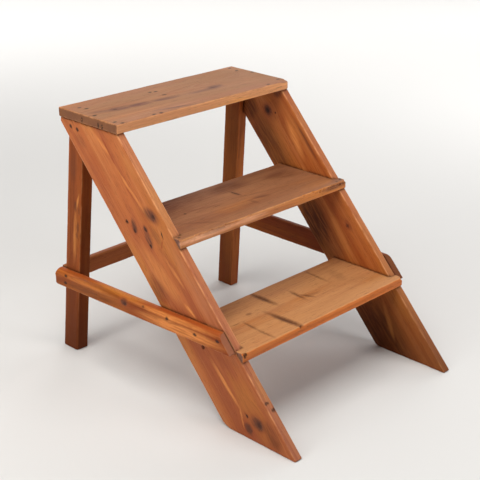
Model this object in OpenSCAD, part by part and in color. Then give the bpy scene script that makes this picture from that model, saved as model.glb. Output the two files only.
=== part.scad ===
// Wooden step stool: two sloping side boards carry three treads, and two
// rear legs, tied by side braces and a rear rail, hold the back up.
// The front faces -Y, +Z is up, and the origin is on the floor at the middle
// of the stool's width and depth. All sizes are in millimetres.

/* [Overall] */
// Height of the top tread's upper face above the floor
stool_h = 600; // [480:5:760]
// Width over the outer faces of the two stringers
stool_w = 550; // [420:5:700]

/* [Stringers] */
// Thickness of each sloping side board
stringer_t = 22; // [16:1:30]
// Width of each side board, measured square to its length
stringer_w = 149; // [130:1:180]
// Slope of the side boards above the floor, in degrees
slope = 47.3; // [44:0.1:52]
// How far the top back corner is trimmed inside the top tread's back edge
corner_inset = 3; // [0:1:10]

/* [Treads] */
// Thickness of every tread
tread_t = 22; // [18:1:28]
// Height of the bottom tread's upper face above the floor
bottom_step_h = 192; // [150:1:215]
// Height of the middle tread's upper face above the floor
middle_step_h = 391; // [330:1:430]
// Depth of the bottom tread, front to back
bottom_tread_d = 192; // [150:1:210]
// Depth of the middle tread, front to back
middle_tread_d = 196; // [150:1:210]
// Depth of the top tread, front to back
top_tread_d = 200; // [180:1:260]
// How far the top tread stands out past the stringers' front edges
top_lip = 5; // [0:1:20]
// How far the top tread stands out past each stringer's outer face
side_lip = 3; // [0:1:15]
// How far the underside of a lower tread stands out past the stringers
nose_lip = 3; // [1:1:12]
// Depth of the housings in the stringers that hold the lower treads
housing_d = 6; // [3:1:10]
// Clearance above and at the ends of a tread in its housings
housing_clear = 0.2; // [0.1:0.1:1]

/* [Rear legs] */
// Width of the left rear leg, side to side
leg_left_w = 33; // [25:1:45]
// Width of the right rear leg, side to side
leg_right_w = 29; // [25:1:45]
// Depth of each rear leg, front to back
leg_d = 50; // [32:1:60]
// Backward lean of the legs towards the floor, in degrees
leg_lean = 4; // [1:0.1:6]
// Outward lean of the legs towards the floor, in degrees
leg_splay = 1.4; // [0:0.1:2.5]
// How far the legs' back faces sit inside the top tread's back edge
leg_setback = 22.5; // [5:0.5:30]
// How deep each side brace is let into the leg's outer face
brace_let_in = 0.5; // [0.5:0.1:2]

/* [Side braces and rear rail] */
// Thickness of the side braces
brace_t = 21; // [15:1:30]
// Height of the left brace's board
brace_left_h = 40; // [30:1:60]
// Height of the right brace's board
brace_right_h = 53; // [30:1:60]
// Drop from the bottom tread's upper face to the left brace's underside, rear
brace_left_drop = 25; // [0:1:40]
// Drop from the bottom tread's upper face to the right brace's underside, rear
brace_right_drop = 16; // [0:1:40]
// How much the left brace climbs from its rear end to its front end
brace_left_rise = 20; // [0:1:30]
// How much the right brace climbs from its rear end to its front end
brace_right_rise = 3; // [0:1:30]
// How far the braces run past the legs' back faces
brace_tail = 13; // [5:1:30]
// Radius of the rounded upper outer edge of the braces
brace_round = 12; // [3:1:14]
// Radius of the corners at the rear ends of the braces
brace_end_round = 8; // [2:1:12]
// Thickness of the rear rail
rail_t = 14; // [10:1:24]
// Height of the rear rail's board
rail_h = 43; // [30:1:60]

/* [Hidden] */
$fn = 48;

LEFT = -1;
RIGHT = 1;
pine = [0.66, 0.40, 0.24];
pine_pale = [0.74, 0.54, 0.34];
pine_dark = [0.52, 0.29, 0.17];

half_w = stool_w / 2;
under_top = stool_h - tread_t;
inner_x = half_w - stringer_t;

// The stringers' front edge starts at the floor at y = 0 before centring.
function front_y(z) = z / tan(slope);
function back_y(z) = front_y(z) + stringer_w / sin(slope);

top_front = front_y(under_top) - top_lip;
top_back = top_front + top_tread_d;
corner_y = min(back_y(under_top), top_back - corner_inset);
corner_z = (corner_y - stringer_w / sin(slope)) * tan(slope);

// Back face of the legs: leg_back(z) is its y at height z.
leg_foot_back = top_back - leg_setback + under_top * tan(leg_lean);
function leg_back(z) = leg_foot_back - z * tan(leg_lean);
leg_reach = stool_h * 1.5;

// Heights of the braces' undersides at their rear ends.
brace_left_z = bottom_step_h - brace_left_drop;
brace_right_z = bottom_step_h - brace_right_drop;

// The height of the middle of the braces' rear ends sets the legs' spread.
brace_mid_z = (brace_left_z + brace_right_z) / 2 + (brace_left_h + brace_right_h) / 4;
leg_outer_foot = half_w + brace_let_in + brace_mid_z * tan(leg_splay);

brace_back = leg_back(brace_mid_z) + brace_tail;
rail_back = leg_foot_back + rail_t * cos(leg_lean) - min(brace_left_z, brace_right_z) * sin(leg_lean);
depth = max(rail_back, brace_back, leg_foot_back, top_back);

// Stands a profile drawn in (y, z) up and gives it a width in x.
module side_board(x, width) {
    translate([x, 0, 0])
        rotate([90, 0, 90])
            linear_extrude(width)
                children();
}

// Outline of a stringer seen from the side.
module stringer_outline() {
    polygon([
        [0, 0],
        [back_y(0), 0],
        [corner_y, corner_z],
        [corner_y, under_top],
        [front_y(under_top), under_top]
    ]);
}

// The stringer's full board between two distances from the middle.
module stringer_board(side, from_x, to_x) {
    side_board(side == LEFT ? -to_x : from_x, to_x - from_x)
        stringer_outline();
}

// The pocket in both stringers for a lower tread.
module tread_housing(step_h, tread_d) {
    reach = inner_x + housing_d;
    front = front_y(step_h - tread_t) - nose_lip;
    translate([-reach, front - housing_clear, step_h - tread_t])
        cube([2 * reach, tread_d + 2 * housing_clear, tread_t + housing_clear]);
}

module stringer(side) {
    color(pine)
        difference() {
            stringer_board(side, inner_x, half_w);
            tread_housing(middle_step_h, middle_tread_d);
            tread_housing(bottom_step_h, bottom_tread_d);
        }
}

// A tread held in the stringers' housings, with horns that lap over the
// stringers' front edges out to their outer faces.
module housed_tread(step_h, tread_d) {
    front = front_y(step_h - tread_t) - nose_lip;
    color(pine_pale)
        difference() {
            translate([-half_w, front, step_h - tread_t])
                cube([stool_w, tread_d, tread_t]);
            for (side = [LEFT, RIGHT])
                stringer_board(side, inner_x + housing_d - housing_clear, half_w + 1);
        }
}

module top_tread_board() {
    color(pine_pale)
        translate([-half_w - side_lip, top_front, under_top])
            cube([stool_w + 2 * side_lip, top_tread_d, tread_t]);
}

// Puts the children on the plane of the legs' back faces, leaning with it.
module on_leg_back() {
    translate([0, leg_foot_back, 0])
        rotate([leg_lean, 0, 0])
            children();
}

// A rear leg, rebated at the top round the stringer's inner face and back
// edge, cut level at the floor and under the top tread.
module leg(side) {
    leg_w = side == LEFT ? leg_left_w : leg_right_w;
    color(pine_dark)
        difference() {
            intersection() {
                on_leg_back()
                    translate([side * leg_outer_foot, 0, 0])
                        rotate([0, -side * leg_splay, 0])
                            translate([side == RIGHT ? -leg_w : 0, -leg_d, -leg_reach / 4])
                                cube([leg_w, leg_d, leg_reach]);
                translate([-stool_w, 0, 0])
                    cube([2 * stool_w, 2 * depth, under_top]);
            }
            stringer_board(side, inner_x, half_w + leg_w);
            brace_board(side);
        }
}

function brace_z(side) = side == LEFT ? brace_left_z : brace_right_z;
function brace_h(side) = side == LEFT ? brace_left_h : brace_right_h;
function brace_rise(side) = side == LEFT ? brace_left_rise : brace_right_rise;

// Outline of a brace's board from its rear end, with its rear corners rounded.
module brace_outline(length, h) {
    r = brace_end_round;
    translate([-length, 0])
        square([length - r, h]);
    translate([-r, r])
        square([r, h - 2 * r]);
    for (z = [r, h - r])
        translate([-r, z])
            circle(r);
}

// Cross-section of a brace, with its upper outer edge rounded.
module brace_section(h) {
    square([brace_t - brace_round, h]);
    square([brace_t, h - brace_round]);
    translate([brace_t - brace_round, h - brace_round])
        circle(brace_round);
}

// A brace on the outer faces of a stringer and a leg; its front end is cut in
// line with the stringer's front edge.
module brace_board(side) {
    h = brace_h(side);
    run = brace_back - front_y(brace_z(side));
    climb = atan(brace_rise(side) / run);
    length = run + h;
    intersection() {
        translate([side * half_w, brace_back, brace_z(side)])
            rotate([-climb, 0, 0])
                mirror([side == LEFT ? 1 : 0, 0, 0])
                    intersection() {
                        side_board(0, brace_t)
                            brace_outline(length, h);
                        rotate([90, 0, 0])
                            linear_extrude(length)
                                brace_section(h);
                    }
        side_board(-stool_w, 2 * stool_w)
            polygon([
                [0, 0],
                [2 * depth, 0],
                [2 * depth, stool_h],
                [front_y(stool_h), stool_h]
            ]);
    }
}

module brace(side) {
    color(pine)
        brace_board(side);
}

// The rail across the legs' back faces, between the braces' rear ends.
module rail() {
    color(pine_dark)
        on_leg_back()
            rotate([90, 0, 0])
                translate([0, 0, -rail_t])
                    linear_extrude(rail_t)
                        polygon([
                            [-half_w, brace_left_z],
                            [half_w, brace_right_z],
                            [half_w, brace_right_z + rail_h],
                            [-half_w, brace_left_z + rail_h]
                        ]);
}

// Moves a piece so that the origin is at the middle of the stool's depth.
module centred() {
    translate([0, -depth / 2, 0])
        children();
}

module stringer_left() { centred() stringer(LEFT); }
module stringer_right() { centred() stringer(RIGHT); }
module top_tread() { centred() top_tread_board(); }
module middle_tread() { centred() housed_tread(middle_step_h, middle_tread_d); }
module bottom_tread() { centred() housed_tread(bottom_step_h, bottom_tread_d); }
module leg_left() { centred() leg(LEFT); }
module leg_right() { centred() leg(RIGHT); }
module brace_left() { centred() brace(LEFT); }
module brace_right() { centred() brace(RIGHT); }
module rear_rail() { centred() rail(); }

stringer_left();
stringer_right();
top_tread();
middle_tread();
bottom_tread();
leg_left();
leg_right();
brace_left();
brace_right();
rear_rail();
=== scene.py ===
# %% [markdown]
# # An old pine step stool
# The stool has three treads between two sloping side boards, the stringers. Two rear
# legs, tied by a brace on each side and a rail behind, hold the back up. The packed
# model already has every board at its true size and place. What it lacks is age: worn
# arrises, chipped nosings, gouges, nail heads, and the figure of oiled pine.
#
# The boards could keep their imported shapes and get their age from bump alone. That
# fails at the outline, where a chip or a rounded corner shows against the floor. So
# each board is made again as a joiner would make it: a plain board is sawn, eased and
# scooped while it lies flat, and is then put up in its place.

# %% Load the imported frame
import math
import random

import bpy
from mathutils import Matrix, Quaternion, Vector
from mathutils.bvhtree import BVHTree


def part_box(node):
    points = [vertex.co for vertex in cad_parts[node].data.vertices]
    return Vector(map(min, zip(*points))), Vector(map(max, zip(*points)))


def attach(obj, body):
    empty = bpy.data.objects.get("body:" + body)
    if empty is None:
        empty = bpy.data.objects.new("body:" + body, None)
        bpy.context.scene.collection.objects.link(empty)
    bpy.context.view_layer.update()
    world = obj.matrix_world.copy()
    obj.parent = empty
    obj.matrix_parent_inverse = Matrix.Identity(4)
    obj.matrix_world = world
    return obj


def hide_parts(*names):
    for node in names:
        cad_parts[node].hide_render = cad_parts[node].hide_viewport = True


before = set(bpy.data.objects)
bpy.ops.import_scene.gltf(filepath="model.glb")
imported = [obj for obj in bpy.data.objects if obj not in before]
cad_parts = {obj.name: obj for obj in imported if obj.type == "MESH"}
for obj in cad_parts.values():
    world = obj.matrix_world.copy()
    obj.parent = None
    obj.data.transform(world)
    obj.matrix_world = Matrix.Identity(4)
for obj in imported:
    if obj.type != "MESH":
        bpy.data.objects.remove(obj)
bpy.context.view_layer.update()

MM = 0.001
print("boards in the frame:", ", ".join(sorted(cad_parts)))

# %% [markdown]
# ## Measures from the frame
# The boards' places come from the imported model. A stringer's own corners give its slope
# and its width, and a leg's corners give how far it leans back and how far it spreads.
# Reading them here means that a change to the model carries into the scene. Only the
# braces' and the rail's sections, heights and climb are given again as numbers.

# %% Read the stringers' slope and the legs' lean
LEFT = "left"
RIGHT = "right"
HOUSED = ("middle_tread", "bottom_tread")
TREADS = ("top_tread", *HOUSED)


def extent(node, level, axis):
    """The ends of a packed board's reach along an axis, among its corners at one height."""
    points = [vertex.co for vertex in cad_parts[node].data.vertices]
    values = [point[axis] for point in points if abs(point.z - level) < MM]
    return min(values), max(values)


under_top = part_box("top_tread")[0].z
foot_front, foot_back = extent("stringer_left", 0.0, 1)
head_front = extent("stringer_left", under_top, 1)[0]
slope = math.atan2(under_top, head_front - foot_front)
stringer_width = (foot_back - foot_front) * math.sin(slope)
stringer_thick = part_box("stringer_left")[1].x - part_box("stringer_left")[0].x
half_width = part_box("stringer_right")[1].x
inner_x = half_width - stringer_thick

leg_front_foot, leg_back_foot = extent("leg_left", 0.0, 1)
leg_back_head = extent("leg_left", under_top, 1)[1]
leg_lean = math.atan2(leg_back_foot - leg_back_head, under_top)
leg_deep = (leg_back_foot - leg_front_foot) * math.cos(leg_lean)
leg_low_x, leg_inner_foot = extent("leg_left", 0.0, 0)
leg_outer_foot = -leg_low_x
leg_inner_head = extent("leg_left", under_top, 0)[1]
leg_splay = math.atan2(leg_inner_head - leg_inner_foot, under_top)
leg_wide = {}
for side in (LEFT, RIGHT):
    foot = extent("leg_" + side, 0.0, 0)
    leg_wide[side] = (foot[1] - foot[0]) * math.cos(leg_splay)
print(f"slope {math.degrees(slope):.1f}, stringer {stringer_width:.3f} wide")
print(f"legs lean {math.degrees(leg_lean):.1f} and spread {math.degrees(leg_splay):.1f} degrees")

# %% [markdown]
# ## Camera, floor and light
# The camera stands in front of the stool's left side, a little over twice its height
# up, and looks down across the treads. A long lens keeps the boards' edges nearly
# parallel. The light is a room's: a wide soft source overhead, weaker ones on the left, on
# the right and in front, and a little white all round. With so much light from above,
# each tread throws a soft shadow on the boards below it. One more light hangs over the
# far floor, and seven with a narrow spread hang all round and reach the floor only, so
# that it stays pale from every side.

# %% Place the camera
CAMERA_PLACE = (-1.792, -1.6435, 1.299)
CAMERA_LENS = 85.85
VIEW_TURN = math.radians(46.58)
VIEW_TILT = math.radians(-22.31)
VIEW_ROLL = math.radians(0.77)
view_line = Vector((
    math.sin(VIEW_TURN) * math.cos(VIEW_TILT),
    math.cos(VIEW_TURN) * math.cos(VIEW_TILT),
    math.sin(VIEW_TILT),
))
bpy.ops.object.camera_add(location=CAMERA_PLACE)
camera = bpy.context.object
camera.name = "camera"
camera.rotation_mode = "QUATERNION"
camera.rotation_quaternion = view_line.to_track_quat("-Z", "Y") @ Quaternion((0, 0, 1), VIEW_ROLL)
camera.data.sensor_width = 36.0
camera.data.lens = CAMERA_LENS
bpy.context.scene.camera = camera
bpy.context.scene.view_settings.view_transform = "Standard"
print("camera at", tuple(round(v, 3) for v in camera.location))

# %% Lay the floor and hang the lights
WHITE = (1.0, 1.0, 1.0)
WARM = (1.0, 0.99, 0.97)
COOL = (0.98, 0.99, 1.0)
MIDDLE = (0.0, 0.0, 0.3)
FAR_FLOOR = (3.2, 3.2, 0.0)
RING_RADIUS = 5.0
RING_HEIGHT = 3.4
RING_SPREAD = math.radians(80)
SKY = (0.97, 0.98, 1.0, 1.0)
SKY_STRENGTH = 0.15
FLOOR_WIDTH = 24.0


def soft_light(name, place, target, width, power, colour):
    """A square area light at a place, turned to face a target."""
    turn = (Vector(target) - Vector(place)).to_track_quat("-Z", "Y")
    bpy.ops.object.light_add(type="AREA", location=place, rotation=turn.to_euler())
    light = bpy.context.object
    light.name = name
    light.data.size = width
    light.data.energy = power
    light.data.color = colour
    return light


soft_light("key_light", (-0.85, 0.0, 2.6), MIDDLE, 1.8, 54.0, WARM)
soft_light("left_light", (-2.7, 0.2, 1.2), MIDDLE, 1.3, 25.0, WARM)
soft_light("right_light", (2.7, 0.2, 1.6), MIDDLE, 1.3, 22.0, COOL)
soft_light("front_light", (0.9, -2.6, 1.3), MIDDLE, 1.3, 30.0, COOL)
soft_light("floor_light", (3.2, 3.2, 2.6), FAR_FLOOR, 3.0, 100.0, WHITE)

# A narrow spread keeps the light of this ring off the stool.
for turn in (0, 90, 135, 180, 225, 270, 315):
    x = RING_RADIUS * math.cos(math.radians(turn))
    y = RING_RADIUS * math.sin(math.radians(turn))
    light = soft_light("floor_light_" + str(turn), (x, y, RING_HEIGHT), (x, y, 0.0), 4.0, 62.0, WHITE)
    light.data.spread = RING_SPREAD

world = bpy.data.worlds.new("studio")
bpy.context.scene.world = world
world.use_nodes = True
world.node_tree.nodes["Background"].inputs["Color"].default_value = SKY
world.node_tree.nodes["Background"].inputs["Strength"].default_value = SKY_STRENGTH

bpy.ops.mesh.primitive_plane_add(size=FLOOR_WIDTH, location=(0.0, 0.0, 0.0))
floor = bpy.context.object
floor.name = "floor"
print("floor", floor.dimensions.x, "m wide")

# %% [markdown]
# ## Workshop helpers
# Most of Blender's modelling operators act on whatever is selected, so each step first
# picks one board and nothing else. A board starts as a cube primitive with one corner
# at the origin: X runs along the grain, Y across it and Z through its thickness, with
# the side that shows most facing up. Working flat keeps every saw cut and scoop easy to
# place, in the board's own length and width.

# %% Pick a board, or parts of it, and apply a modifier to it


def pick(piece):
    """Leaves one piece selected and active, and nothing else."""
    bpy.ops.object.select_all(action="DESELECT")
    piece.select_set(True)
    bpy.context.view_layer.objects.active = piece


def edit_parts(piece, kind, parts, wanted):
    """Opens a piece for editing with only the wanted vertices, edges or faces selected."""
    pick(piece)
    bpy.ops.object.mode_set(mode="EDIT")
    bpy.ops.mesh.select_mode(type=kind)
    bpy.ops.mesh.select_all(action="DESELECT")
    bpy.ops.object.mode_set(mode="OBJECT")
    for part in getattr(piece.data, parts):
        part.select = wanted(part)
    bpy.ops.object.mode_set(mode="EDIT")


def apply_modifier(piece, kind, **settings):
    """Adds a modifier with these settings and applies it at once."""
    pick(piece)
    modifier = piece.modifiers.new(kind.lower(), kind)
    for setting, value in settings.items():
        setattr(modifier, setting, value)
    bpy.ops.object.modifier_apply(modifier=modifier.name)


def put_in_place(piece, place):
    """Moves a piece by a matrix and leaves the move in its mesh."""
    pick(piece)
    piece.matrix_world = place @ piece.matrix_world
    bpy.ops.object.transform_apply(location=True, rotation=True, scale=True)


# %% Saw a board out and cut its ends


def sawn_board(name, length, width, thickness):
    """A square-edged board that lies flat with one corner at the origin."""
    bpy.ops.object.select_all(action="DESELECT")
    size = Vector((length, width, thickness))
    bpy.ops.mesh.primitive_cube_add(size=1.0, location=size / 2, scale=size)
    board = bpy.context.object
    board.name = name
    board.data.name = name
    bpy.ops.object.transform_apply(location=True, rotation=True, scale=True)
    return board


def saw_off(board, place, point, normal):
    """Cuts a flat board by a plane of the standing stool, and drops the normal's side."""
    to_board = place.inverted()
    pick(board)
    bpy.ops.object.mode_set(mode="EDIT")
    bpy.ops.mesh.select_all(action="SELECT")
    bpy.ops.mesh.bisect(
        plane_co=to_board @ Vector(point),
        plane_no=(to_board.to_3x3() @ Vector(normal)).normalized(),
        use_fill=True,
        clear_outer=True,
    )
    bpy.ops.object.mode_set(mode="OBJECT")


def level_ends(board, place):
    """Cuts a board level at the floor and under the top tread."""
    saw_off(board, place, (0, 0, 0), (0, 0, -1))
    saw_off(board, place, (0, 0, under_top), (0, 0, 1))


# %% Round over chosen edges, then ease the rest


def round_over(board, radius, belongs, segments=5):
    """Bevels the edges whose two ends both pass the test."""
    edit_parts(
        board, "EDGE", "edges",
        lambda edge: all(belongs(board.data.vertices[end].co) for end in edge.vertices),
    )
    bpy.ops.mesh.bevel(offset=radius, segments=segments, affect="EDGES")
    bpy.ops.object.mode_set(mode="OBJECT")


def ease_edges(board, radius=1.2 * MM):
    """Takes the sharpness off every arris."""
    apply_modifier(
        board, "BEVEL", width=radius, segments=2,
        limit_method="ANGLE", angle_limit=math.radians(25),
    )


# %% Scoop wood away


def scoop(place, size, turn=(0.0, 0.0, 0.0)):
    """An egg-shaped cutter. Its size is its reach each way from the place, in millimetres."""
    bpy.ops.object.select_all(action="DESELECT")
    bpy.ops.mesh.primitive_ico_sphere_add(
        subdivisions=2, radius=1.0, location=place, rotation=turn, scale=[reach * MM for reach in size]
    )
    return bpy.context.object


def nicks(start, end, count, size, seed):
    """Small scoops scattered along a line, for chips and bruises on an arris."""
    chance = random.Random(seed)
    cutters = []
    for _ in range(count):
        spot = Vector(start).lerp(Vector(end), chance.random())
        spot += Vector((0, chance.uniform(-1, 1), chance.uniform(-1, 1))) * 0.6 * MM
        grow = chance.uniform(0.5, 1.2)
        turn = (chance.uniform(-0.4, 0.4), chance.uniform(-0.3, 0.3), chance.uniform(-0.5, 0.5))
        cutters.append(scoop(spot, [reach * grow for reach in size], turn))
    return cutters


def joined(pieces, name):
    """Joins pieces to one object with its place in its mesh."""
    pick(pieces[0])
    for piece in pieces:
        piece.select_set(True)
    if len(pieces) > 1:
        bpy.ops.object.join()
    bpy.ops.object.transform_apply(location=True, rotation=True, scale=True)
    whole = bpy.context.object
    whole.name = name
    whole.data.name = name
    return whole


def cut_away(board, cutters):
    """Takes all the cutters' shapes out of a board."""
    tool = joined(cutters, "cutter")
    apply_modifier(
        board, "BOOLEAN", operation="DIFFERENCE", solver="EXACT", use_self=True, object=tool
    )
    bpy.data.objects.remove(tool, do_unlink=True)


# %% [markdown]
# ## Age a board
# Years of feet and hands round a board unevenly. After the cutting, a voxel remesh
# gives the board one even skin, which closes every cut and joins the scoops to the
# faces. Two smoothing passes then rub the arrises soft, and two cloudy displacements
# make the faces slightly uneven, so that the sheen breaks up as on hand-worked wood. A
# collapse decimation takes out the triangles that the flat stretches don't need.

# %% Give boards a worn skin
RUBS = 2
boards = {}


def cloud_texture(name, size):
    texture = bpy.data.textures.new(name, "CLOUDS")
    texture.noise_scale = size
    texture.noise_depth = 2
    return texture


hollows = cloud_texture("hollows", 60 * MM)
ripples = cloud_texture("ripples", 11 * MM)


def age(name, board, voxel=1.6 * MM, keep=0.6):
    """Remeshes and rubs a flat board, stands it in its place and makes it uneven."""
    apply_modifier(board, "REMESH", mode="VOXEL", voxel_size=voxel)
    apply_modifier(board, "SMOOTH", factor=0.5, iterations=RUBS)
    put_in_place(board, places[name])
    for texture, depth in ((hollows, 0.8 * MM), (ripples, 0.3 * MM)):
        apply_modifier(
            board, "DISPLACE", texture=texture, texture_coords="LOCAL",
            strength=depth, mid_level=0.95,
        )
    apply_modifier(board, "DECIMATE", ratio=keep)
    pick(board)
    bpy.ops.object.shade_smooth()
    boards[name] = board
    print(f"{name}: {len(board.data.polygons)} faces")


# %% [markdown]
# ## Where each board lies
# A matrix per board turns it from lying flat to its place in the stool. The stringers'
# and legs' matrices put the side that the left of the stool shows uppermost on the
# bench, so that a knot or a nail is given as so far along and so far across. The
# stringers' and the legs' boards are sawn too long, and their ends are cut later.

# %% Work out the boards' places and sizes
STRINGER_SAWN = 0.93
LEG_SAWN = 0.64
LEG_LONG = 0.58
BRACE_THICK = 21 * MM
RAIL_THICK = 14 * MM
RAIL_HIGH = 43 * MM
braces = {
    LEFT: {"high": 40 * MM, "under": 167 * MM, "rise": 20 * MM},
    RIGHT: {"high": 53 * MM, "under": 176 * MM, "rise": 3 * MM},
}


def place_from(origin, along, across):
    """The matrix that lays X along one direction and Y across another."""
    along = Vector(along)
    across = Vector(across)
    place = Matrix((along, across, along.cross(across))).transposed().to_4x4()
    place.translation = origin
    return place


def stringer_place(x):
    """A flat stringer's place when its lower side in X stands at x."""
    up_slope = (0.0, math.cos(slope), math.sin(slope))
    down_back = (0.0, math.sin(slope), -math.cos(slope))
    return place_from((x, foot_front, 0), up_slope, down_back)


places = {
    "stringer_left": stringer_place(stringer_thick - half_width),
    "stringer_right": stringer_place(half_width),
}
board_size = dict.fromkeys(places, (STRINGER_SAWN, stringer_width, stringer_thick))
for tread in TREADS:
    low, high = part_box(tread)
    places[tread] = Matrix.Translation(low)
    board_size[tread] = tuple(high - low)

leg_plane = Matrix.Translation((0, leg_back_foot, 0)) @ Matrix.Rotation(leg_lean, 4, "X")
upright = place_from((0, 0, 0), (0, 0, 1), (0, 1, 0))
brace_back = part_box("brace_left")[1].y
for side, sign in ((LEFT, -1), (RIGHT, 1)):
    shift = Matrix.Translation((sign * leg_outer_foot, 0, 0))
    spread = Matrix.Rotation(-sign * leg_splay, 4, "Y")
    start = Matrix.Translation((leg_wide[LEFT] if side == LEFT else 0, -leg_deep, 0))
    places["leg_" + side] = leg_plane @ shift @ spread @ start @ upright
    board_size["leg_" + side] = (LEG_LONG, leg_deep, leg_wide[side])

    brace = braces[side]
    run = brace_back - foot_front - brace["under"] / math.tan(slope)
    start = (-half_width if side == LEFT else half_width + BRACE_THICK, brace_back, brace["under"])
    climb = Matrix.Rotation(-math.atan2(brace["rise"], run), 4, "X")
    flat = place_from((0, 0, 0), (0, -1, 0), (0, 0, 1))
    places["brace_" + side] = Matrix.Translation(start) @ climb @ flat
    board_size["brace_" + side] = (run + brace["high"], brace["high"], BRACE_THICK)

rail_start = Matrix.Translation((-half_width, RAIL_THICK, braces[LEFT]["under"]))
places["rear_rail"] = leg_plane @ rail_start @ place_from((0, 0, 0), (1, 0, 0), (0, 0, 1))
board_size["rear_rail"] = (2 * half_width, RAIL_HIGH, RAIL_THICK)
print("places:", ", ".join(places))

# %% [markdown]
# ## The stringers
# Each side board is cut level at the floor and under the top tread, and its back top
# corner is trimmed. Its heel and its toe are worn round. The lower treads' ends run a
# little way into the inner faces, where nothing shows, so no pocket is cut for them.

# %% Make the two stringers
HEEL_END = stringer_width / math.tan(slope) + 3 * MM


def stringer(name, heel, scoops):
    """A side board, with its heel and toe worn round and its own dents."""
    place = places[name]
    board = sawn_board(name, *board_size[name])
    level_ends(board, place)
    saw_off(board, place, (0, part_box(name)[1].y, 0), (0, 1, 0))
    round_over(board, heel, lambda p: p.y > stringer_width - MM and p.x < HEEL_END, 6)
    round_over(board, 6 * MM, lambda p: p.y < MM and p.x < 3 * MM, 3)
    ease_edges(board)
    cut_away(board, scoops)
    age(name, board, 1.8 * MM, keep=0.5)


face = stringer_thick
stringer("stringer_left", 18 * MM, [
    scoop((0.305, 0.087, face), (4.2, 3.6, 6)),
    scoop((0.549, 0.079, face), (3.8, 2.6, 3.0)),
    scoop((0.627, 0.111, face), (4.4, 2.6, 2.6)),
    scoop((0.551, 0.029, face), (7, 1.8, 1.8), (0, 0, -0.4)),
    scoop((0.600, 0.102, face), (5, 2.4, 1.6)),
    scoop((0.135, 0.0, 14 * MM), (4, 2.2, 2.4)),
    scoop((0.117, 0.0, 6 * MM), (5, 2.4, 3.0)),
    scoop((0.440, 0.0, face), (22, 1.2, 2)),
    scoop((0.170, 0.0, 2 * MM), (16, 1.5, 3)),
])
stringer("stringer_right", 10 * MM, [
    scoop((0.420, 0.0, 3 * MM), (18, 1.5, 3)),
    scoop((0.120, 0.0, face), (16, 1.5, 2)),
])

# %% [markdown]
# ## The top tread
# The top board sits on the stringers' ends. Its front right corner has been worn round
# and down, its back left corner is knocked off, and three small holes open in its left
# end grain. Shallow scoops along both long arrises stand for the wear of feet.

# %% Make the top tread
long, deep, thick = board_size["top_tread"]
top_tread = sawn_board("top_tread", long, deep, thick)
round_over(top_tread, 12 * MM, lambda p: p.x > long - MM and p.y < MM)
round_over(top_tread, 3 * MM, lambda p: p.x < MM and p.y > deep - MM)
round_over(top_tread, 4 * MM, lambda p: p.x > long - MM and p.y > deep - MM)
ease_edges(top_tread, 1.4 * MM)
cut_away(top_tread, [
    scoop((long, 0.0, thick + 4 * MM), (44, 28, 8)),
    scoop((0.0, 0.062, 8 * MM), (9, 2.2, 3.2)),
    scoop((0.0, 0.049, 7 * MM), (7, 2.0, 2.6)),
    scoop((0.0, 0.117, 9 * MM), (5, 2.2, 3.0)),
    *nicks((0, 0, thick), (long, 0, thick), 16, (14, 2.0, 1.6), 3),
    *nicks((0, deep, thick), (long, deep, thick), 10, (12, 2.0, 1.4), 4),
])
age("top_tread", top_tread, 1.7 * MM)

# %% [markdown]
# ## The lower treads
# A housed tread runs into both stringers, and at the front it is left wider, so that
# two horns lap over the stringers' front edges. The horns are cut by taking the
# stringers' own outline away from a plain board. The middle tread's nosing is badly
# chipped on its left third. The bottom tread is scored by seven grooves that run
# roughly from front to back, as if something had been sawn or dragged across it.

# %% Make the middle and the bottom tread
HOUSING_DEEP = 6 * MM
HORN_SLACK = 0.2 * MM
OVERCUT = 2 * MM


def horn_cutters(tread):
    """The stringers' boards beyond the tread's ends, as cutters for a flat tread."""
    cutters = []
    reach = inner_x + HOUSING_DEEP - HORN_SLACK
    for lower_x in (half_width + OVERCUT, -reach):
        cutter = sawn_board("cutter", STRINGER_SAWN, stringer_width, half_width + OVERCUT - reach)
        cutter.matrix_world = places[tread].inverted() @ stringer_place(lower_x)
        cutters.append(cutter)
    return cutters


def housed_tread(name, nose, scoops):
    """A lower tread with its horns, its nosing rounded over and its own damage."""
    board = sawn_board(name, *board_size[name])
    round_over(board, nose, lambda p: p.y < MM and p.z > board_size[name][2] - MM)
    ease_edges(board)
    cut_away(board, horn_cutters(name))
    cut_away(board, scoops)
    age(name, board)


long, deep, thick = board_size["middle_tread"]
housed_tread("middle_tread", 3.5 * MM, [
    *nicks((0.008, 0.0, 17 * MM), (0.200, 0.0, 17 * MM), 18, (12, 1.9, 3.6), 11),
    *nicks((0.008, 0.0, 9 * MM), (0.170, 0.0, 11 * MM), 9, (11, 1.3, 3.0), 14),
    *nicks((0.150, 0.0, 19 * MM), (0.540, 0.0, 19 * MM), 22, (9, 2.4, 2.4), 12),
    *nicks((0.440, 0.0, 15 * MM), (0.545, 0.0, 14 * MM), 12, (5, 2.4, 3.2), 13),
    scoop((0.0, 0.0, thick), (8, 6, 5)),
    scoop((long, 0.0, thick), (7, 6, 6)),
])

# Each groove: its middle along and across, half its width and half its length in
# millimetres, its turn, and how dark it is.
grooves = [
    (0.4085, 0.153, 2.6, 42, -0.09, 0.5),
    (0.297, 0.110, 3.4, 28, -0.12, 0.7),
    (0.310, 0.094, 3.0, 20, 0.49, 0.7),
    (0.2255, 0.155, 4.8, 44, 0.01, 0.9),
    (0.182, 0.045, 5.2, 54, 0.05, 1.0),
    (0.1065, 0.078, 2.6, 25, -0.11, 0.6),
    (0.104, 0.033, 2.6, 30, 0.0, 0.5),
]

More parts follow.
